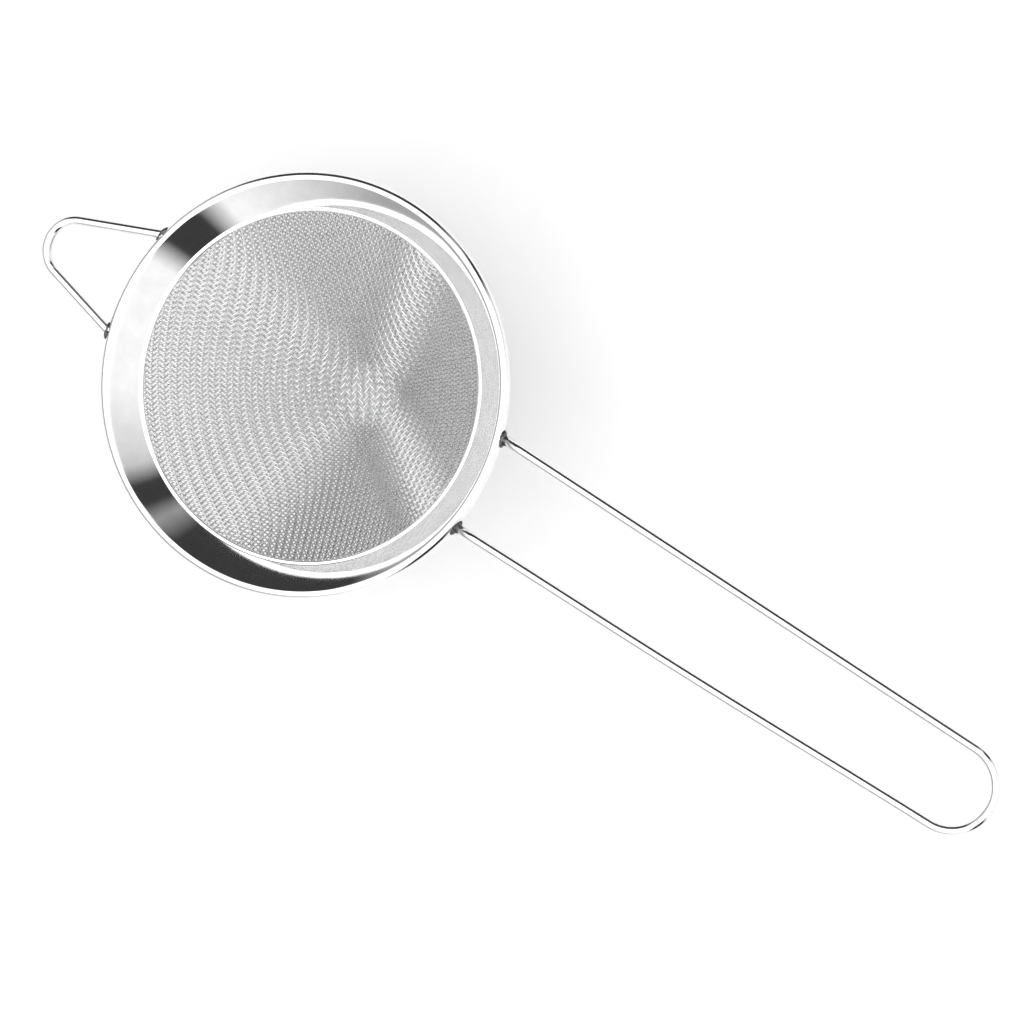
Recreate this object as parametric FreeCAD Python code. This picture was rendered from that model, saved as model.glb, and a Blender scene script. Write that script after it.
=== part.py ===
"""Conical tea strainer: sheet-metal rim, woven cone, long wire handle and a wire rest loop.

Row frame, in millimetres: origin at the centre of the rim, in the plane of the wires' undersides,
+X along the handle, +Z out of the open side. The wires and the rim's rolled edge share one mid
plane, one wire radius above the origin.
"""
import FreeCAD, Part
import math
import os

Vector = FreeCAD.Vector

# --- Driving dimensions -----------------------------------------------------------------------
RIM_DIAMETER = 85.0          # over the rolled edge
WIRE_DIAMETER = 2.0          # handle and rest loop

ROLL_RADIUS = 1.15           # outside radius of the rolled edge
ROLL_OPEN_ANGLE = 96.0       # part of the full circle that the roll leaves open, in degrees
BAND_SHEET = 0.4             # sheet thickness of the rim band
BAND_SLOPE = 44.0            # fall of the band towards the bowl, in degrees
MOUTH_DIAMETER = 69.7        # clear mouth inside the lip
LIP_RADIUS = 0.42            # raised lip round the mouth
CLAMP_SHEET = 0.3            # sheet thickness of the clamp ring
CLAMP_TUCK = 0.5             # how far the clamp ring reaches into the roll
CLAMP_SETBACK = 0.45         # how far the clamp ring stops short of the lip
FIT_GAP = 0.01               # gap between band, cloth and clamp ring

CLOTH_THICKNESS = 0.8        # woven cloth of 0.4 wire, over both wire layers
CONE_DEPTH = 49.0            # from the origin plane down to the middle of the cloth at the tip
TIP_RADIUS = 9.0             # middle of the cloth

HANDLE_REACH = 151.4         # rim centre to the centre of the end bend
HANDLE_BEND_RADIUS = 8.5     # to the wire's centre line
HANDLE_WELD_SPACING = 19.8   # across the rim, between the two rails
HANDLE_WELD_OFFSET = 1.6     # middle of the two welds, to the left of the X axis
HANDLE_BEND_OFFSET = -0.7    # end bend's centre, to the left of the X axis

REST_REACH = 55.4            # rim centre to the centre of the loop's bend
REST_BEND_RADIUS = 6.05      # to the wire's centre line
REST_WELD_SPACING = 22.4     # across the rim, between the loop's two legs
REST_BEND_OFFSET = -0.8      # bend's centre, to the left of the X axis

WELD_WIDTH = 3.6             # along the rim
WELD_HEIGHT = 2.2
WELD_REACH = 0.65            # out from the rim

# --- Derived dimensions -----------------------------------------------------------------------
WIRE_RADIUS = WIRE_DIAMETER / 2
RIM_RADIUS = RIM_DIAMETER / 2
MID_PLANE = WIRE_RADIUS
ROLL_CENTRE_RADIUS = RIM_RADIUS - ROLL_RADIUS
ROLL_INSIDE_RADIUS = ROLL_RADIUS - BAND_SHEET
SLOPE = math.radians(BAND_SLOPE)
CLOTH_TOP = ROLL_INSIDE_RADIUS - FIT_GAP
CLOTH_MIDDLE = CLOTH_TOP - CLOTH_THICKNESS / 2
CLAMP_TOP = CLOTH_TOP - CLOTH_THICKNESS - FIT_GAP
LIP_HEIGHT = ROLL_INSIDE_RADIUS + LIP_RADIUS
LIP_CENTRE_RADIUS = MOUTH_DIAMETER / 2 + LIP_RADIUS
LIP_ALONG = (ROLL_CENTRE_RADIUS - LIP_CENTRE_RADIUS - LIP_HEIGHT * math.sin(SLOPE)) / math.cos(SLOPE)


def band_point(along, height):
    """Point of the rim's section: `along` runs down the band from the roll, `height` is square to it."""
    radius = ROLL_CENTRE_RADIUS - along * math.cos(SLOPE) - height * math.sin(SLOPE)
    level = MID_PLANE - along * math.sin(SLOPE) + height * math.cos(SLOPE)
    return Vector(radius, 0, level)


def roll_point(radius, degrees):
    """Point of the roll's section, turned outwards from square to the band."""
    angle = math.radians(degrees)
    return band_point(-radius * math.sin(angle), radius * math.cos(angle))


def arc(start, middle, end):
    return Part.Arc(start, middle, end).toShape()


def line(start, end):
    return Part.LineSegment(start, end).toShape()


def revolved(edges):
    """Solid of revolution about Z from the closed outline `edges` in the XZ plane."""
    outline = Part.Wire(Part.__sortEdges__(edges))
    section = Part.Face(outline)
    return section.revolve(Vector(0, 0, 0), Vector(0, 0, 1), 360)


def rim_band():
    """Sloping band, rolled outwards at its outer edge and finished with a raised lip at the mouth."""
    roll_end = 360.0 - ROLL_OPEN_ANGLE
    roll_middle = roll_end / 2
    lip_rise = ROLL_RADIUS - LIP_HEIGHT
    lip_start = LIP_ALONG - math.sqrt(LIP_RADIUS ** 2 - lip_rise ** 2)
    top_outer = band_point(0, ROLL_RADIUS)
    top_inner = band_point(lip_start, ROLL_RADIUS)
    lip_top = band_point(LIP_ALONG, LIP_HEIGHT + LIP_RADIUS)
    lip_nose = band_point(LIP_ALONG + LIP_RADIUS, LIP_HEIGHT)
    lip_foot = band_point(LIP_ALONG, ROLL_INSIDE_RADIUS)
    lip_under = band_point(LIP_ALONG + LIP_RADIUS * math.sqrt(0.5), LIP_HEIGHT - LIP_RADIUS * math.sqrt(0.5))
    under_outer = band_point(0, ROLL_INSIDE_RADIUS)
    edges = [
        line(top_outer, top_inner),
        arc(top_inner, lip_top, lip_nose),
        arc(lip_nose, lip_under, lip_foot),
        line(lip_foot, under_outer),
        arc(under_outer, roll_point(ROLL_INSIDE_RADIUS, roll_middle), roll_point(ROLL_INSIDE_RADIUS, roll_end)),
        line(roll_point(ROLL_INSIDE_RADIUS, roll_end), roll_point(ROLL_RADIUS, roll_end)),
        arc(roll_point(ROLL_RADIUS, roll_end), roll_point(ROLL_RADIUS, roll_middle), top_outer),
    ]
    return revolved(edges)


def clamp_ring():
    """Plain ring under the cloth, tucked into the roll, with both edges rounded."""
    round_radius = CLAMP_SHEET / 2
    middle = CLAMP_TOP - round_radius
    outer = round_radius - CLAMP_TUCK
    inner = LIP_ALONG - CLAMP_SETBACK - round_radius
    bottom = CLAMP_TOP - CLAMP_SHEET
    edges = [
        line(band_point(outer, CLAMP_TOP), band_point(inner, CLAMP_TOP)),
        arc(band_point(inner, CLAMP_TOP), band_point(inner + round_radius, middle), band_point(inner, bottom)),
        line(band_point(inner, bottom), band_point(outer, bottom)),
        arc(band_point(outer, bottom), band_point(outer - round_radius, middle), band_point(outer, CLAMP_TOP)),
    ]
    return revolved(edges)


def cloth_side(offset):
    """Outline of one side of the cloth, `offset` above its middle: flange edge, bend, tip start and tip."""
    bend = band_point(LIP_ALONG, CLOTH_MIDDLE)
    tip_centre = Vector(0, 0, TIP_RADIUS - CONE_DEPTH)
    reach = tip_centre.distanceToPoint(bend)
    fall = math.atan2(bend.z - tip_centre.z, bend.x) + math.asin(TIP_RADIUS / reach)
    half_turn = (fall - SLOPE) / 2
    shift = offset * math.tan(half_turn)
    flange_edge = band_point(0, CLOTH_MIDDLE + offset)
    corner = band_point(LIP_ALONG - shift, CLOTH_MIDDLE + offset)
    radius = TIP_RADIUS - offset
    tip_start = tip_centre + Vector(radius * math.sin(fall), 0, -radius * math.cos(fall))
    tip_middle = tip_centre + Vector(radius * math.sin(fall / 2), 0, -radius * math.cos(fall / 2))
    tip = tip_centre + Vector(0, 0, -radius)
    return flange_edge, corner, tip_start, tip_middle, tip


def mesh_cone():
    """Closed shell with the woven cloth's outer shape: clamped flange, cone and rounded tip."""
    upper_edge, upper_corner, upper_start, upper_middle, upper_tip = cloth_side(CLOTH_THICKNESS / 2)
    lower_edge, lower_corner, lower_start, lower_middle, lower_tip = cloth_side(-CLOTH_THICKNESS / 2)
    edges = [
        line(upper_edge, upper_corner),
        line(upper_corner, upper_start),
        arc(upper_start, upper_middle, upper_tip),
        line(upper_tip, lower_tip),
        arc(lower_tip, lower_middle, lower_start),
        line(lower_start, lower_corner),
        line(lower_corner, lower_edge),
        line(lower_edge, upper_edge),
    ]
    return revolved(edges)


def roll_solid():
    """The rolled edge as a filled ring, for fitting what is welded onto it."""
    return Part.makeTorus(ROLL_CENTRE_RADIUS, ROLL_RADIUS, Vector(0, 0, MID_PLANE))


def rim_point(across, side, radius=RIM_RADIUS):
    """Point at `radius` on the handle's side (+1) or the rest's side (-1), `across` from the X axis."""
    return Vector(side * math.sqrt(radius ** 2 - across ** 2), across, MID_PLANE)


def tangent_point(start, centre, radius, turn):
    """Where the straight run from `start` meets the bend; `turn` picks the side of the circle."""
    gap = start - centre
    angle = math.atan2(gap.y, gap.x) + turn * math.acos(radius / gap.Length)
    return centre + Vector(radius * math.cos(angle), radius * math.sin(angle), 0)


def bent_wire(left, right, bend_centre, bend_radius, side):
    """Wire from a weld at `left`, round the bend and back to a weld at `right`."""
    left_end = tangent_point(left, bend_centre, bend_radius, -side)
    right_end = tangent_point(right, bend_centre, bend_radius, side)
    far_point = bend_centre + Vector(side * bend_radius, 0, 0)
    path = Part.Wire([line(left, left_end), arc(left_end, far_point, right_end), line(right_end, right)])
    section = Part.Wire(Part.Circle(left, left_end - left, WIRE_RADIUS).toShape())
    swept = path.makePipeShell([section], True, True)
    return swept.cut(roll_solid())


def handle_welds():
    """Left and right weld points of the handle, on the rim."""
    left = HANDLE_WELD_OFFSET + HANDLE_WELD_SPACING / 2
    right = HANDLE_WELD_OFFSET - HANDLE_WELD_SPACING / 2
    return left, right


def handle_wire():
    """Long handle: one wire, welded to the rim at both ends and bent round at the far end."""
    left, right = handle_welds()
    bend_centre = Vector(HANDLE_REACH, HANDLE_BEND_OFFSET, MID_PLANE)
    start = rim_point(left, 1, ROLL_CENTRE_RADIUS)
    end = rim_point(right, 1, ROLL_CENTRE_RADIUS)
    return bent_wire(start, end, bend_centre, HANDLE_BEND_RADIUS, 1)


def rest_loop():
    """Short three-cornered loop opposite the handle, which hooks over the far edge of a cup."""
    half = REST_WELD_SPACING / 2
    bend_centre = Vector(-REST_REACH, REST_BEND_OFFSET, MID_PLANE)
    start = rim_point(half, -1, ROLL_CENTRE_RADIUS)
    end = rim_point(-half, -1, ROLL_CENTRE_RADIUS)
    return bent_wire(start, end, bend_centre, REST_BEND_RADIUS, -1)


def weld_bead(across, side, wire):
    """Flattened bead of weld metal round a wire's end, clear of the wire and of the rolled edge."""
    ball = Part.makeSphere(1.0)
    shaping = FreeCAD.Matrix()
    shaping.scale(Vector(WELD_REACH, WELD_WIDTH / 2, WELD_HEIGHT / 2))
    bead = ball.transformGeometry(shaping)
    place = rim_point(across, side)
    turn = math.degrees(math.atan2(place.y, place.x))
    bead.Placement = FreeCAD.Placement(place, FreeCAD.Rotation(Vector(0, 0, 1), turn))
    return bead.cut(roll_solid()).cut(wire)


def build():
    handle = handle_wire()
    rest = rest_loop()
    handle_left, handle_right = handle_welds()
    rest_half = REST_WELD_SPACING / 2
    return {
        "rim_band": rim_band(),
        "clamp_ring": clamp_ring(),
        "mesh_cone": mesh_cone(),
        "handle_wire": handle,
        "rest_loop": rest,
        "handle_weld_left": weld_bead(handle_left, 1, handle),
        "handle_weld_right": weld_bead(handle_right, 1, handle),
        "rest_weld_left": weld_bead(rest_half, -1, rest),
        "rest_weld_right": weld_bead(-rest_half, -1, rest),
    }


os.makedirs("parts", exist_ok=True)
for node, shape in build().items():
    box = shape.BoundBox
    print(f"{node}: valid {shape.isValid()}, solids {len(shape.Solids)}, volume {shape.Volume:.2f} mm3, "
          f"x {box.XMin:.2f}..{box.XMax:.2f}, y {box.YMin:.2f}..{box.YMax:.2f}, z {box.ZMin:.2f}..{box.ZMax:.2f}")
    shape.exportStep(f"parts/{node}.step")
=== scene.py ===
"""Looks of the conical tea strainer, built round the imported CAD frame. Everything is in metres.

The rings and the two bent wires are remade as smooth meshes on the CAD's own sizes, and the plain
cone of the CAD becomes a real cloth: every wire of a 2/2 twill, drawn into the cone. The weld beads
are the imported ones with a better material.
"""
import math
import bpy
import numpy as np
from mathutils import Matrix, Vector


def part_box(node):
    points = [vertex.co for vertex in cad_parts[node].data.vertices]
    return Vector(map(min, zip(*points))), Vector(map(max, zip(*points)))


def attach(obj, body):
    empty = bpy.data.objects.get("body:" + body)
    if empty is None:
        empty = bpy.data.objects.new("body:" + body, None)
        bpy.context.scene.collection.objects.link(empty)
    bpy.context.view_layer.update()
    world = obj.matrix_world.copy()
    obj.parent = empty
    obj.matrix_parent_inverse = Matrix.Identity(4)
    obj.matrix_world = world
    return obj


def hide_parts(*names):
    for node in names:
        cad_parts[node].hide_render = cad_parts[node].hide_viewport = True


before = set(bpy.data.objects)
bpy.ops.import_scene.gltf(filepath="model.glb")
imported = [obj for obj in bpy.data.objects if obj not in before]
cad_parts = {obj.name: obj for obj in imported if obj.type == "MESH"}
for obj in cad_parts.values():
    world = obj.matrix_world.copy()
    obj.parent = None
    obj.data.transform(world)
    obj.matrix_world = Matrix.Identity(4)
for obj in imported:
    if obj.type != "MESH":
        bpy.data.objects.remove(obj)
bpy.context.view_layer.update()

# --- Sizes --------------------------------------------------------------------------------------
MM = 0.001
_, rim_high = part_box("rim_band")
handle_low, handle_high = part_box("handle_wire")
rest_low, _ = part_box("rest_loop")
cone_low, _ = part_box("mesh_cone")

RIM_RADIUS = rim_high.x
WIRE_RADIUS = (handle_high.z - handle_low.z) / 2
MID_PLANE = (handle_high.z + handle_low.z) / 2
ROLL_RADIUS = rim_high.z - MID_PLANE
ROLL_CENTRE_RADIUS = RIM_RADIUS - ROLL_RADIUS

BAND_SHEET = 0.4 * MM
BAND_SLOPE = math.radians(44.0)
BAND_CROWN = math.radians(3.8)     # how far the band's slope drifts to either side of BAND_SLOPE
ROLL_TURN = math.radians(250.0)
MOUTH_RADIUS = 34.85 * MM
LIP_RADIUS = 0.42 * MM
ROLL_INSIDE = ROLL_RADIUS - BAND_SHEET
LIP_HEIGHT = ROLL_INSIDE + LIP_RADIUS
LIP_ALONG = ((ROLL_CENTRE_RADIUS - MOUTH_RADIUS - LIP_RADIUS - LIP_HEIGHT * math.sin(BAND_SLOPE))
             / math.cos(BAND_SLOPE))

CLOTH_WIRE = 0.40 * MM            # diameter of the cloth's wire
CLOTH_PITCH = 0.96 * MM           # from wire to wire, before the cloth is drawn
CLOTH_GAP = 0.01 * MM
CLOTH_MIDDLE = ROLL_INSIDE - CLOTH_GAP - CLOTH_WIRE
CLAMP_TOP = CLOTH_MIDDLE - CLOTH_WIRE - CLOTH_GAP
CLAMP_SHEET = 0.3 * MM
TIP_RADIUS = 9.0 * MM


def band_point(along, height):
    """Radius and level of a point of the rim's section: `along` runs down the band from the roll."""
    radius = ROLL_CENTRE_RADIUS - along * math.cos(BAND_SLOPE) - height * math.sin(BAND_SLOPE)
    level = MID_PLANE - along * math.sin(BAND_SLOPE) + height * math.cos(BAND_SLOPE)
    return radius, level


# --- Mesh helpers -------------------------------------------------------------------------------
def quad_mesh(name, points, quads):
    """Smooth-shaded object from arrays of points and of four-cornered faces."""
    mesh = bpy.data.meshes.new(name)
    mesh.vertices.add(len(points))
    mesh.vertices.foreach_set("co", np.asarray(points, np.float32).ravel())
    mesh.loops.add(4 * len(quads))
    mesh.loops.foreach_set("vertex_index", np.asarray(quads, np.int32).ravel())
    mesh.polygons.add(len(quads))
    mesh.polygons.foreach_set("loop_start", np.arange(0, 4 * len(quads), 4, dtype=np.int32))
    mesh.update(calc_edges=True)
    mesh.shade_smooth()
    thing = bpy.data.objects.new(name, mesh)
    bpy.context.scene.collection.objects.link(thing)
    return thing


def place(thing, material, slot, *nodes):
    """Gives a piece its material and its place in the frame."""
    thing.data.materials.append(material)
    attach(thing, "root")
    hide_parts(*nodes)
    return thing


def arc_points(along, height, radius, start, end, steps):
    """Points of an arc of the section, by the angle from the `along` direction towards `height`."""
    angles = np.linspace(start, end, steps)
    return [(along + radius * math.cos(a), height + radius * math.sin(a)) for a in angles]


def line_points(start, end, steps):
    """Points of a straight stretch, without its ends."""
    shares = np.linspace(0, 1, steps + 1)[1:-1]
    return [(start[0] + (end[0] - start[0]) * t, start[1] + (end[1] - start[1]) * t) for t in shares]


def lathe(name, section, steps, ripple=None):
    """Ring with the closed `section`, (along, height) points of the rim, turned about Z."""
    turns = np.linspace(0, 2 * math.pi, steps, endpoint=False)
    flat = np.array(section)
    along = np.repeat(flat[None, :, 0], steps, axis=0)
    height = np.repeat(flat[None, :, 1], steps, axis=0)
    if ripple is not None:
        height = height + ripple(along, height, turns[:, None])
    radius, level = band_point(along, height)
    points = np.stack([radius * np.cos(turns)[:, None], radius * np.sin(turns)[:, None], level], -1)
    count = len(section)
    ring, spot = np.meshgrid(np.arange(steps), np.arange(count), indexing="ij")
    next_ring, next_spot = (ring + 1) % steps, (spot + 1) % count
    quads = np.stack([ring * count + spot, ring * count + next_spot,
                      next_ring * count + next_spot, next_ring * count + spot], -1)
    return quad_mesh(name, points.reshape(-1, 3), quads.reshape(-1, 4))


def tube(name, centres, radius, sides):
    """Closed tube of round wire along a path in the plane z = MID_PLANE."""
    centres = np.array(centres)
    ahead = np.gradient(centres, axis=0)
    ahead /= np.linalg.norm(ahead, axis=1)[:, None]
    up = np.array([0.0, 0.0, 1.0])
    across = np.cross(ahead, up)
    turns = np.linspace(0, 2 * math.pi, sides, endpoint=False)
    rings = (centres[:, None, :] + radius * (np.cos(turns)[None, :, None] * across[:, None, :]
                                             + np.sin(turns)[None, :, None] * up))
    ring, side = np.meshgrid(np.arange(len(centres) - 1), np.arange(sides), indexing="ij")
    next_side = (side + 1) % sides
    quads = np.stack([ring * sides + side, (ring + 1) * sides + side,
                      (ring + 1) * sides + next_side, ring * sides + next_side], -1)
    faces = np.concatenate([quads.reshape(-1, 4), end_quads(0, sides, False),
                            end_quads((len(centres) - 1) * sides, sides, True)])
    return quad_mesh(name, rings.reshape(-1, 3), faces)


def end_quads(first, sides, flip):
    """Faces that close a tube's end ring of an even number of sides."""
    faces = []
    for k in range(sides // 2 - 1):
        face = [first + k, first + k + 1, first + sides - 2 - k, first + (sides - 1 - k)]
        faces.append(face[::-1] if flip else face)
    return np.array(faces)


# --- Materials ----------------------------------------------------------------------------------
def new_material(name):
    """Empty material with one Principled shader."""
    material = bpy.data.materials.new(name)
    material.use_nodes = True
    nodes = material.node_tree.nodes
    nodes.clear()
    shader = nodes.new("ShaderNodeBsdfPrincipled")
    output = nodes.new("ShaderNodeOutputMaterial")
    material.node_tree.links.new(shader.outputs[0], output.inputs["Surface"])
    return material, material.node_tree, shader


def noise(tree, scale, detail=3.0, vector=None, roughness=0.5):
    """Noise on the object's own coordinates, or on `vector`."""
    node = tree.nodes.new("ShaderNodeTexNoise")
    node.inputs["Scale"].default_value = scale
    node.inputs["Detail"].default_value = detail
    node.inputs["Roughness"].default_value = roughness
    if vector is None:
        vector = tree.nodes.new("ShaderNodeTexCoord").outputs["Object"]
    tree.links.new(vector, node.inputs["Vector"])
    return node.outputs["Fac"]


def ranged(tree, value, low, high, start=0.3, end=0.7):
    """Maps a value between `start` and `end` onto `low` to `high`."""
    node = tree.nodes.new("ShaderNodeMapRange")
    node.inputs["From Min"].default_value = start
    node.inputs["From Max"].default_value = end
    node.inputs["To Min"].default_value = low
    node.inputs["To Max"].default_value = high
    tree.links.new(value, node.inputs["Value"])
    return node.outputs["Result"]


def tinted(tree, value, dark, light):
    """Colour between two tones, by a value from 0 to 1."""
    node = tree.nodes.new("ShaderNodeMix")
    node.data_type = "RGBA"
    node.inputs["A"].default_value = (*dark, 1)
    node.inputs["B"].default_value = (*light, 1)
    tree.links.new(value, node.inputs["Factor"])
    return node.outputs["Result"]


def bump(tree, height, strength, distance):
    """Normal that follows a height."""
    node = tree.nodes.new("ShaderNodeBump")
    node.inputs["Strength"].default_value = strength
    node.inputs["Distance"].default_value = distance
    tree.links.new(height, node.inputs["Height"])
    return node.outputs["Normal"]


def maths(tree, operation, *values):
    """Math node on sockets or plain numbers."""
    node = tree.nodes.new("ShaderNodeMath")
    node.operation = operation
    for k, value in enumerate(values):
        if isinstance(value, (int, float)):
            node.inputs[k].default_value = value
        else:
            tree.links.new(value, node.inputs[k])
    return node.outputs[0]


def round_the_rim(tree, around, across):
    """Coordinates that follow the rim: angle times `around`, reach and level times `across`."""
    place_node = tree.nodes.new("ShaderNodeTexCoord").outputs["Object"]
    split = tree.nodes.new("ShaderNodeSeparateXYZ")
    tree.links.new(place_node, split.inputs[0])
    angle = maths(tree, "ARCTAN2", split.outputs["Y"], split.outputs["X"])
    length = tree.nodes.new("ShaderNodeVectorMath")
    length.operation = "LENGTH"
    tree.links.new(place_node, length.inputs[0])
    join = tree.nodes.new("ShaderNodeCombineXYZ")
    for output, factor, spot in ((angle, around, "X"), (length.outputs["Value"], across, "Y"),
                                 (split.outputs["Z"], across, "Z")):
        tree.links.new(maths(tree, "MULTIPLY", output, factor), join.inputs[spot])
    return join.outputs[0]


def polished_rim():
    """Mirror-polished sheet with faint polishing lines round the rim and a little orange peel."""
    material, tree, shader = new_material("rim_steel")
    shader.inputs["Metallic"].default_value = 1.0
    lines = noise(tree, 1.0, 6.0, round_the_rim(tree, 9.0, 16000.0), 0.7)
    cloudy = noise(tree, 320.0, 2.0)
    tree.links.new(tinted(tree, ranged(tree, cloudy, 0, 1), (0.80, 0.80, 0.805), (0.86, 0.86, 0.86)),
                   shader.inputs["Base Color"])
    tree.links.new(ranged(tree, lines, 0.03, 0.10), shader.inputs["Roughness"])
    tree.links.new(bump(tree, lines, 0.05, 0.00002), shader.inputs["Normal"])
    return material


def polished_wire():
    """Bright drawn and tumbled wire."""
    material, tree, shader = new_material("wire_steel")
    shader.inputs["Metallic"].default_value = 1.0
    cloudy = noise(tree, 500.0, 3.0)
    tree.links.new(tinted(tree, ranged(tree, cloudy, 0, 1), (0.78, 0.78, 0.785), (0.86, 0.86, 0.86)),
                   shader.inputs["Base Color"])
    tree.links.new(ranged(tree, noise(tree, 3500.0, 4.0), 0.05, 0.11), shader.inputs["Roughness"])
    return material


def satin_sheet():
    """Rolled sheet, not polished, for the ring under the cloth."""
    material, tree, shader = new_material("clamp_steel")
    shader.inputs["Metallic"].default_value = 1.0
    lines = noise(tree, 1.0, 5.0, round_the_rim(tree, 30.0, 9000.0), 0.6)
    tree.links.new(tinted(tree, ranged(tree, lines, 0, 1), (0.62, 0.62, 0.63), (0.74, 0.74, 0.74)),
                   shader.inputs["Base Color"])
    tree.links.new(ranged(tree, lines, 0.18, 0.34), shader.inputs["Roughness"])
    tree.links.new(bump(tree, lines, 0.15, 0.00002), shader.inputs["Normal"])
    return material


def cloth_steel():
    """Fine drawn wire, a little duller where the loom has rubbed it."""
    material, tree, shader = new_material("cloth_steel")
    shader.inputs["Metallic"].default_value = 1.0
    rubbed = noise(tree, 900.0, 3.0)
    tree.links.new(tinted(tree, ranged(tree, rubbed, 0, 1), (0.66, 0.66, 0.66), (0.78, 0.78, 0.78)),
                   shader.inputs["Base Color"])
    tree.links.new(ranged(tree, rubbed, 0.14, 0.24), shader.inputs["Roughness"])
    return material


def weld_steel():
    """Weld flash: dark, slightly brown from the heat, and grainy."""
    material, tree, shader = new_material("weld_steel")
    shader.inputs["Metallic"].default_value = 1.0
    grain = noise(tree, 2600.0, 5.0)
    tree.links.new(tinted(tree, ranged(tree, grain, 0, 1), (0.02, 0.02, 0.02), (0.20, 0.195, 0.19)),
                   shader.inputs["Base Color"])
    tree.links.new(ranged(tree, grain, 0.5, 0.25), shader.inputs["Roughness"])
    tree.links.new(bump(tree, grain, 0.5, 0.00008), shader.inputs["Normal"])
    return material


# --- Rim ----------------------------------------------------------------------------------------
BAND_POINTS = 20
LIP_POINTS = 16
UNDERSIDE_STEPS = 4
ROLL_INSIDE_POINTS = 12
ROLL_OUTSIDE_POINTS = 40
RIM_STEPS = 1080                 # round the rim
RIPPLE = 0.03 * MM


def band_arc(tilt):
    """Point of the slightly crowned band whose normal leans `tilt` off the band's mean normal."""
    meet = math.acos((ROLL_RADIUS * math.cos(BAND_CROWN) - LIP_HEIGHT) / LIP_RADIUS)
    end = LIP_ALONG - LIP_RADIUS * math.sin(meet)
    start = -ROLL_RADIUS * math.sin(BAND_CROWN)
    bend = (end - start) / (2 * math.sin(BAND_CROWN))
    along = start + bend * (math.sin(tilt) + math.sin(BAND_CROWN))
    height = ROLL_RADIUS * math.cos(BAND_CROWN) + bend * (math.cos(tilt) - math.cos(BAND_CROWN))
    return along, height


def rim_section():
    """Closed outline of the rim band: band, lip round the mouth, underside and rolled edge."""
    quarter = math.pi / 2
    outline = [band_arc(tilt) for tilt in np.linspace(-BAND_CROWN, BAND_CROWN, BAND_POINTS)]
    meet = quarter + math.acos((ROLL_RADIUS * math.cos(BAND_CROWN) - LIP_HEIGHT) / LIP_RADIUS)
    outline += arc_points(LIP_ALONG, LIP_HEIGHT, LIP_RADIUS, meet, -quarter, LIP_POINTS)[1:]
    outline += line_points((LIP_ALONG, ROLL_INSIDE), (0, ROLL_INSIDE), UNDERSIDE_STEPS)
    outline += arc_points(0, 0, ROLL_INSIDE, quarter, quarter + ROLL_TURN, ROLL_INSIDE_POINTS)
    outline += arc_points(0, 0, ROLL_RADIUS, quarter + ROLL_TURN, quarter + BAND_CROWN,
                          ROLL_OUTSIDE_POINTS)[:-1]
    return outline


def rim_ripple(along, height, turn):
    """Unevenness of the pressed band, a few hundredths of a millimetre over its visible face."""
    rng = np.random.default_rng(7)
    total = np.zeros(np.broadcast(along, turn).shape)
    share = np.clip(along / LIP_ALONG, 0, 1)
    for waves in (5, 9, 14, 23, 37, 61):
        phase, lean = rng.uniform(0, 2 * math.pi), rng.uniform(-2.0, 2.0)
        total += np.sin(waves * turn + phase + lean * share) / waves ** 1.2
    on_face = np.where((height > ROLL_INSIDE + BAND_SHEET / 2) & (along > 0), 1.0, 0.0)
    return RIPPLE * total * on_face * np.sin(math.pi * share) ** 0.5


CLAMP_OUTER = -0.5 * MM          # outer edge, along the band from the roll's centre
CLAMP_INNER_GAP = 0.45 * MM      # from the inner edge to the middle of the lip
CLAMP_FACE_STEPS = 10
CLAMP_EDGE_POINTS = 9
CLAMP_STEPS = 720                # round the clamp ring


def clamp_section():
    """Closed outline of the ring under the cloth, with both edges rounded."""
    half = CLAMP_SHEET / 2
    middle = CLAMP_TOP - half
    outer = half + CLAMP_OUTER
    inner = LIP_ALONG - CLAMP_INNER_GAP - half
    quarter = math.pi / 2
    outline = line_points((outer, CLAMP_TOP), (inner, CLAMP_TOP), CLAMP_FACE_STEPS)
    outline += arc_points(inner, middle, half, quarter, -quarter, CLAMP_EDGE_POINTS)
    outline += line_points((inner, middle - half), (outer, middle - half), CLAMP_FACE_STEPS)
    outline += arc_points(outer, middle, half, -quarter, -3 * quarter, CLAMP_EDGE_POINTS)
    return outline


# --- Cloth --------------------------------------------------------------------------------------
CONE_DEPTH = -cone_low.z - CLOTH_WIRE
MOUTH_BEND = band_point(LIP_ALONG, CLOTH_MIDDLE)
TIP_CENTRE = TIP_RADIUS - CONE_DEPTH
MOUTH_TO_TIP = math.hypot(MOUTH_BEND[0], MOUTH_BEND[1] - TIP_CENTRE)
CONE_FALL = math.atan2(MOUTH_BEND[1] - TIP_CENTRE, MOUTH_BEND[0]) + math.asin(TIP_RADIUS / MOUTH_TO_TIP)
CAP_RADIUS = TIP_RADIUS * math.sin(CONE_FALL)
CAP_LEVEL = TIP_CENTRE - TIP_RADIUS * math.cos(CONE_FALL)


def cloth_level(radius):
    """Level of the middle of the cloth at a radius, and how steeply it rises there."""
    in_cap = np.minimum(radius, CAP_RADIUS)
    drop = np.sqrt(TIP_RADIUS ** 2 - in_cap ** 2)
    on_wall = CAP_LEVEL + (radius - CAP_RADIUS) * math.tan(CONE_FALL)
    level = np.where(radius < CAP_RADIUS, TIP_CENTRE - drop, on_wall)
    rise = np.where(radius < CAP_RADIUS, in_cap / drop, math.tan(CONE_FALL))
    flange = radius > MOUTH_BEND[0]
    level = np.where(flange, MOUTH_BEND[1] + (radius - MOUTH_BEND[0]) * math.tan(BAND_SLOPE), level)
    rise = np.where(flange, math.tan(BAND_SLOPE), rise)
    return level, rise


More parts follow.
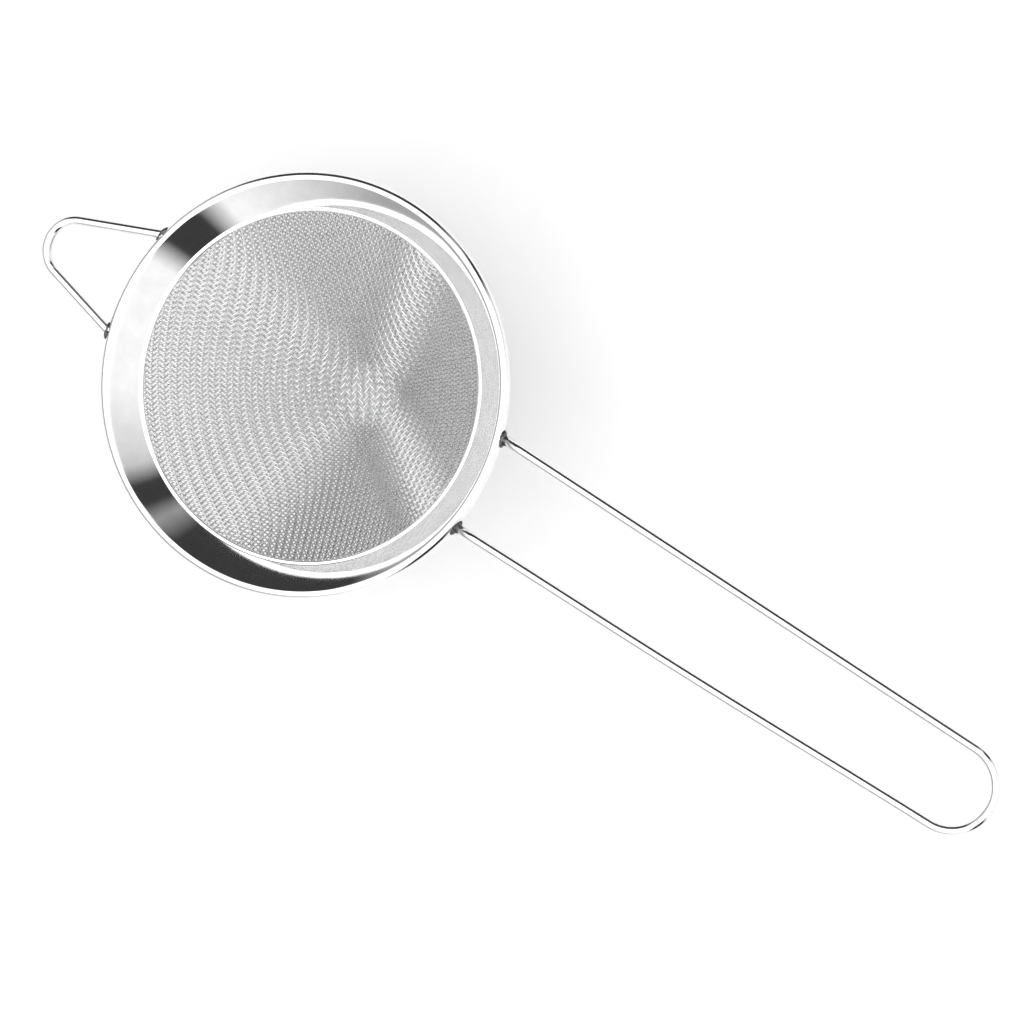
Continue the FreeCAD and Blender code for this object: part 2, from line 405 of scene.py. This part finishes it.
def on_cloth(flat):
    """Points of the cloth's middle surface above the points `flat` of the XY plane."""
    level, _ = cloth_level(np.hypot(flat[..., 0], flat[..., 1]))
    return np.concatenate([flat, level[..., None]], -1)


def fourth_corner(left, right, before, pitch):
    """Where two wires cross next: on the cloth, one pitch from both `left` and `right`."""
    flat = (left + right - before)[..., :2].copy()
    for _ in range(10):
        radius = np.hypot(flat[..., 0], flat[..., 1]) + 1e-12
        level, rise = cloth_level(radius)
        here = np.concatenate([flat, level[..., None]], -1)
        slope = rise[..., None] * flat / radius[..., None]
        from_left, from_right = here - left, here - right
        miss_left = (from_left ** 2).sum(-1) - pitch ** 2
        miss_right = (from_right ** 2).sum(-1) - pitch ** 2
        pull_left = 2 * (from_left[..., :2] + from_left[..., 2:] * slope)
        pull_right = 2 * (from_right[..., :2] + from_right[..., 2:] * slope)
        area = pull_left[..., 0] * pull_right[..., 1] - pull_left[..., 1] * pull_right[..., 0]
        step = np.stack([pull_right[..., 1] * miss_left - pull_left[..., 1] * miss_right,
                         pull_left[..., 0] * miss_right - pull_right[..., 0] * miss_left], -1)
        step /= area[..., None]
        length = np.linalg.norm(step, axis=-1, keepdims=True) + 1e-15
        flat -= step * np.minimum(1.0, 0.5 * pitch / length)
    return on_cloth(flat)


TIP_TURN_LENGTH = 14 * MM        # over which a wire through the tip takes up its run on the wall


def middle_wire(tip_azimuth, wall_azimuth, count):
    """One half of a wire that crosses the tip: it leaves the tip one way and bends to another."""
    cap_length = TIP_RADIUS * CONE_FALL
    wall_length = (MOUTH_BEND[0] - CAP_RADIUS) / math.cos(CONE_FALL)
    def point(length):
        share = min(length / TIP_TURN_LENGTH, 1.0)
        azimuth = math.radians(tip_azimuth + (wall_azimuth - tip_azimuth) * share * share * (3 - 2 * share))
        if length < cap_length:
            radius = TIP_RADIUS * math.sin(length / TIP_RADIUS)
        elif length < cap_length + wall_length:
            radius = CAP_RADIUS + (length - cap_length) * math.cos(CONE_FALL)
        else:
            radius = MOUTH_BEND[0] + (length - cap_length - wall_length) * math.cos(BAND_SLOPE)
        return on_cloth(np.array([radius * math.cos(azimuth), radius * math.sin(azimuth)]))

    crossings, length = [point(0.0)], 0.0
    for _ in range(count):
        near, far = length + 0.5 * CLOTH_PITCH, length + 1.5 * CLOTH_PITCH
        for _ in range(40):
            length = (near + far) / 2
            if np.linalg.norm(point(length) - crossings[-1]) < CLOTH_PITCH:
                near = length
            else:
                far = length
        crossings.append(point(length))
    return np.array(crossings)


WIRES_EACH_SIDE = 74             # of the wire that crosses the tip
# Where the two wires that cross at the tip run, in degrees: as they leave the tip, then on the wall.
WARP_AHEAD, WARP_BACK = (160.6, 155.0), (340.6, 345.0)
WEFT_AHEAD, WEFT_BACK = (80.8, 77.0), (260.8, 276.0)


def woven_net():
    """Crossings of the drawn cloth: a net whose meshes all keep their side lengths and only shear."""
    size = WIRES_EACH_SIDE
    net = np.zeros((2 * size + 1, 2 * size + 1, 3))
    steps = np.arange(size + 1)
    net[size + steps, size] = middle_wire(*WARP_AHEAD, size)
    net[size - steps, size] = middle_wire(*WARP_BACK, size)
    net[size, size + steps] = middle_wire(*WEFT_AHEAD, size)
    net[size, size - steps] = middle_wire(*WEFT_BACK, size)
    for side_a in (1, -1):
        for side_b in (1, -1):
            for diagonal in range(2, 2 * size + 1):
                a = np.arange(max(1, diagonal - size), min(size, diagonal - 1) + 1)
                b = diagonal - a
                left = net[size + side_a * (a - 1), size + side_b * b]
                right = net[size + side_a * a, size + side_b * (b - 1)]
                before = net[size + side_a * (a - 1), size + side_b * (b - 1)]
                net[size + side_a * a, size + side_b * b] = fourth_corner(left, right, before, CLOTH_PITCH)
    return net


def between(crossings, samples):
    """Smooth path through crossings, with `samples` points to each pitch."""
    padded = np.concatenate([2 * crossings[:1] - crossings[1:2], crossings,
                             2 * crossings[-1:] - crossings[-2:-1]])
    before, here, after, beyond = padded[:-3], padded[1:-2], padded[2:-1], padded[3:]
    path = []
    for share in np.arange(samples) / samples:
        path.append(0.5 * (2 * here + (after - before) * share
                           + (2 * before - 5 * here + 4 * after - beyond) * share ** 2
                           + (3 * here - before - 3 * after + beyond) * share ** 3))
    woven = np.stack(path, 1).reshape(-1, 3)
    return np.concatenate([woven, crossings[-1:]])


def float_height(step):
    """Crimp of a 2/2 twill wire, in wire radii: two crossings above, two below."""
    return 1.257 * np.cos(math.pi / 2 * (step - 0.5)) - 0.157 * np.cos(3 * math.pi / 2 * (step - 0.5))


SAMPLES = 4                      # points along a cloth wire from one crossing to the next
SIDES = 8                        # corners of a cloth wire's section
FLANGE_WIDTH = 1.6 * MM          # of the cloth, held between the band and the clamp ring
FLANGE_END = MOUTH_BEND[0] + FLANGE_WIDTH


def cloth_wire(crossings, phase):
    """Points and faces of one crimped wire, as far as it lies inside the clamped flange."""
    path = between(crossings, SAMPLES)
    steps = np.arange(len(path)) / SAMPLES
    radius = np.hypot(path[:, 0], path[:, 1])
    inside = np.where(radius < FLANGE_END)[0]
    if len(inside) < 2 * SAMPLES:
        return None
    span = slice(inside[0], inside[-1] + 1)
    path, steps = on_cloth(path[span, :2]), steps[span]
    radius = np.hypot(path[:, 0], path[:, 1]) + 1e-12
    _, rise = cloth_level(radius)
    normal = np.stack([-rise * path[:, 0] / radius, -rise * path[:, 1] / radius, np.ones(len(path))], -1)
    normal /= np.linalg.norm(normal, axis=1)[:, None]
    centre = path + normal * (CLOTH_WIRE / 2 * float_height(steps + phase))[:, None]
    ahead = np.gradient(centre, axis=0)
    ahead /= np.linalg.norm(ahead, axis=1)[:, None]
    across = np.cross(ahead, normal)
    across /= np.linalg.norm(across, axis=1)[:, None]
    up = np.cross(across, ahead)
    turns = np.linspace(0, 2 * math.pi, SIDES, endpoint=False)
    rings = centre[:, None] + CLOTH_WIRE / 2 * (np.cos(turns)[None, :, None] * across[:, None]
                                                + np.sin(turns)[None, :, None] * up[:, None])
    count = len(path)
    ring, side = np.meshgrid(np.arange(count - 1), np.arange(SIDES), indexing="ij")
    next_side = (side + 1) % SIDES
    quads = np.stack([ring * SIDES + side, (ring + 1) * SIDES + side,
                      (ring + 1) * SIDES + next_side, ring * SIDES + next_side], -1)
    faces = np.concatenate([quads.reshape(-1, 4), end_quads(0, SIDES, False),
                            end_quads((count - 1) * SIDES, SIDES, True)])
    return rings.reshape(-1, 3), faces


MOST_FACES = 95000               # quads in one piece of the cloth


def cloth_pieces(material):
    """The cloth as bundles of neighbouring warp and weft wires."""
    net = woven_net()
    size = WIRES_EACH_SIDE
    # The twill steps on by one crossing from wire to wire; where the warp is over, the weft is under.
    for family, lift in (("warp", 0), ("weft", 3)):
        wires = []
        for k in range(2 * size + 1):
            crossings = net[:, k] if family == "warp" else net[k, :]
            phase = lift - k
            made = cloth_wire(crossings, phase)
            if made is not None:
                wires.append(made)
        bundle, part, faces_so_far = [], 1, 0
        for wire in wires + [None]:
            if wire is None or faces_so_far + len(wire[1]) > MOST_FACES:
                points = np.concatenate([w[0] for w in bundle])
                starts = np.cumsum([0] + [len(w[0]) for w in bundle[:-1]])
                quads = np.concatenate([w[1] + s for w, s in zip(bundle, starts)])
                thing = quad_mesh(f"cloth_{family}_{part}", points, quads)
                place(thing, material, "cloth_steel", "mesh_cone")
                bundle, part, faces_so_far = [], part + 1, 0
            if wire is not None:
                bundle.append(wire)
                faces_so_far += len(wire[1])


# --- Handle and rest loop -----------------------------------------------------------------------
HANDLE_BEND_RADIUS = 8.5 * MM
HANDLE_WELDS = (11.5 * MM, -8.3 * MM)
HANDLE_BEND_OFFSET = -0.7 * MM
REST_BEND_RADIUS = 6.05 * MM
REST_WELDS = (11.2 * MM, -11.2 * MM)
REST_BEND_OFFSET = -0.8 * MM
HANDLE_BOW = 0.35 * MM           # how far the hand-bent right rail bows out
WELD_DEPTH = 0.25 * MM           # how far a wire's end sinks into the rolled edge
BEND_POINTS = 97
RAIL_POINTS = 25
WIRE_SIDES = 64


def rim_point(across, side, radius):
    """Point of the rim, `across` off its middle, on the handle's side or on the rest's."""
    return np.array([side * math.sqrt(radius ** 2 - across ** 2), across])


def tangent_point(start, centre, radius, turn):
    """Where a straight wire from `start` runs into a bend, and its angle round the bend."""
    gap = start - centre
    angle = math.atan2(gap[1], gap[0]) + turn * math.acos(radius / np.linalg.norm(gap))
    return centre + radius * np.array([math.cos(angle), math.sin(angle)]), angle


def bent_path(welds, bend_centre, bend_radius, side):
    """Centre line of a wire from its left weld, round the bend, to its right weld."""
    reach = RIM_RADIUS - WELD_DEPTH
    left, right = [rim_point(y, side, reach) for y in welds]
    left_end, left_angle = tangent_point(left, bend_centre, bend_radius, -side)
    right_end, right_angle = tangent_point(right, bend_centre, bend_radius, side)
    sweep = (right_angle - left_angle) % (2 * math.pi)
    if side > 0:
        sweep -= 2 * math.pi
    angles = left_angle + np.linspace(0, sweep, BEND_POINTS)
    bend = bend_centre + bend_radius * np.stack([np.cos(angles), np.sin(angles)], -1)
    shares = np.linspace(0, 1, RAIL_POINTS)[:, None]
    flat = np.concatenate([left + (left_end - left) * shares[:-1], bend,
                           right_end + (right - right_end) * shares[1:]])
    return np.concatenate([flat, np.full((len(flat), 1), MID_PLANE)], -1)


def wire_paths():
    """Centre lines of the handle and of the rest loop."""
    handle_centre = np.array([handle_high.x - WIRE_RADIUS - HANDLE_BEND_RADIUS, HANDLE_BEND_OFFSET])
    rest_centre = np.array([rest_low.x + WIRE_RADIUS + REST_BEND_RADIUS, REST_BEND_OFFSET])
    handle = bent_path(HANDLE_WELDS, handle_centre, HANDLE_BEND_RADIUS, 1)
    reach = np.clip((handle[:, 0] - RIM_RADIUS) / (handle_centre[0] - RIM_RADIUS), 0, 1)
    bowed = np.where(handle[:, 1] < HANDLE_BEND_OFFSET, HANDLE_BOW, 0.0)
    handle[:, 1] -= bowed * np.sin(math.pi * reach) ** 2
    return handle, bent_path(REST_WELDS, rest_centre, REST_BEND_RADIUS, -1)


def wires(material):
    """The handle and the loop that rests on the cup."""
    handle, rest = wire_paths()
    place(tube("handle", handle, WIRE_RADIUS, WIRE_SIDES), material, "wire_steel", "handle_wire")
    place(tube("cup_rest_loop", rest, WIRE_RADIUS, WIRE_SIDES), material, "wire_steel", "rest_loop")


# --- Stage --------------------------------------------------------------------------------------
FLOOR_LEVEL = -CONE_DEPTH - 4 * MM
FLOOR_SIZE = 3.0
BRIGHT_SIDE = (0.98, -0.17, 0.0)
SIDE_RISE = (0.0, 0.7)           # cosines from the bright side where the wall begins to brighten, and is full
WALL_LIGHT = (0.40, 1.1)         # of the wall away from the bright side, and of the wall towards it
TOP_LIGHT = 1.5                  # how much brighter it is above
TOP_RISE = (0.45, 0.85)          # sines of the elevations where that begins, and where it is full
DARK_END = (0.72, 0.88)          # sines of the elevations where the dark parts begin to end, and end
ROOM_LIGHT = 0.05                # in the dark side and in the gaps
DARK_SIDE = (124, 34, 6)         # middle, half width and softness, in degrees round the horizon
DARK_GAPS = ((76, 8, 4), (-34, 12, 5))

LENS = 160.1                     # mm, on a 36 mm wide sensor
CAMERA_PLACE = Vector((0.250003, 0.101041, 0.861426))
CAMERA_AZIMUTH = math.radians(26.656)
CAMERA_ELEVATION = math.radians(75.371)
CAMERA_ROLL = math.radians(-85.978)


def floor():
    """Plain pale floor."""
    corners = [(-FLOOR_SIZE, -FLOOR_SIZE), (FLOOR_SIZE, -FLOOR_SIZE), (FLOOR_SIZE, FLOOR_SIZE),
               (-FLOOR_SIZE, FLOOR_SIZE)]
    points = np.array([(x, y, FLOOR_LEVEL) for x, y in corners])
    thing = quad_mesh("floor", points, np.array([[0, 1, 2, 3]]))
    material, tree, shader = new_material("floor_pale")
    mottled = noise(tree, 40.0, 3.0)
    tree.links.new(tinted(tree, ranged(tree, mottled, 0, 1), (0.92, 0.92, 0.92), (0.94, 0.94, 0.94)),
                   shader.inputs["Base Color"])
    shader.inputs["Roughness"].default_value = 1.0
    shader.inputs["Specular IOR Level"].default_value = 0.0
    thing.data.materials.append(material)


def beside(tree, azimuth, middle, half, soft):
    """0 in the part of the horizon `half` degrees to either side of `middle`, 1 outside it."""
    off = maths(tree, "ABSOLUTE", maths(tree, "SUBTRACT", azimuth, math.radians(middle)))
    return ranged(tree, off, 0.0, 1.0, math.radians(half - soft), math.radians(half + soft))


def sky():
    """Soft white studio: bright above, brighter towards one side, with a dark side and two soft gaps."""
    world = bpy.data.worlds.new("studio")
    bpy.context.scene.world = world
    world.use_nodes = True
    tree = world.node_tree
    split = tree.nodes.new("ShaderNodeSeparateXYZ")
    ahead = tree.nodes.new("ShaderNodeTexCoord").outputs["Generated"]
    tree.links.new(ahead, split.inputs[0])
    window = tree.nodes.new("ShaderNodeVectorMath")
    window.operation = "DOT_PRODUCT"
    window.inputs[1].default_value = BRIGHT_SIDE
    tree.links.new(ahead, window.inputs[0])
    low = ranged(tree, window.outputs["Value"], *WALL_LIGHT, *SIDE_RISE)
    high = ranged(tree, split.outputs["Z"], 0.0, TOP_LIGHT, *TOP_RISE)
    bright = maths(tree, "ADD", low, high)
    azimuth = maths(tree, "ARCTAN2", split.outputs["Y"], split.outputs["X"])
    walls = beside(tree, azimuth, *DARK_SIDE)
    for gap in DARK_GAPS:
        walls = maths(tree, "MINIMUM", walls, beside(tree, azimuth, *gap))
    above = ranged(tree, split.outputs["Z"], 0.0, 1.0, *DARK_END)
    open_side = maths(tree, "MAXIMUM", walls, above)
    strength = maths(tree, "ADD", ROOM_LIGHT, maths(tree, "MULTIPLY", bright, open_side))
    back = tree.nodes["Background"]
    back.inputs["Color"].default_value = (1, 1, 1, 1)
    tree.links.new(strength, back.inputs["Strength"])


def stage():
    """Floor and light."""
    floor()
    sky()
    bpy.context.scene.view_settings.view_transform = "Standard"


def camera():
    """Camera above the strainer, a little towards the handle's end."""
    data = bpy.data.cameras.new("camera")
    data.sensor_width = 36.0
    data.lens = LENS
    data.clip_start = 0.01
    data.clip_end = 20.0
    eye = bpy.data.objects.new("camera", data)
    bpy.context.scene.collection.objects.link(eye)
    level = math.cos(CAMERA_ELEVATION)
    back = Vector((level * math.cos(CAMERA_AZIMUTH), level * math.sin(CAMERA_AZIMUTH),
                   math.sin(CAMERA_ELEVATION)))
    across = Vector((-math.sin(CAMERA_AZIMUTH), math.cos(CAMERA_AZIMUTH), 0))
    right = across * math.cos(CAMERA_ROLL) + back.cross(across) * math.sin(CAMERA_ROLL)
    rotation = Matrix((right, back.cross(right), back)).transposed()
    eye.matrix_world = Matrix.Translation(CAMERA_PLACE) @ rotation.to_4x4()
    bpy.context.scene.camera = eye


def rings():
    """The rim band and the ring that clamps the cloth to it."""
    rim = lathe("rim", rim_section(), RIM_STEPS, rim_ripple)
    place(rim, polished_rim(), "rim_steel", "rim_band")
    clamp = lathe("clamp", clamp_section(), CLAMP_STEPS)
    place(clamp, satin_sheet(), "clamp_steel", "clamp_ring")


def weld_beads(material):
    """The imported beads, with a better material."""
    for node in ("handle_weld_left", "handle_weld_right", "rest_weld_left", "rest_weld_right"):
        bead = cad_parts[node]
        bead.data.materials.clear()
        bead.data.materials.append(material)


# --- Build --------------------------------------------------------------------------------------
rings()
wires(polished_wire())
cloth_pieces(cloth_steel())
weld_beads(weld_steel())
stage()
camera()
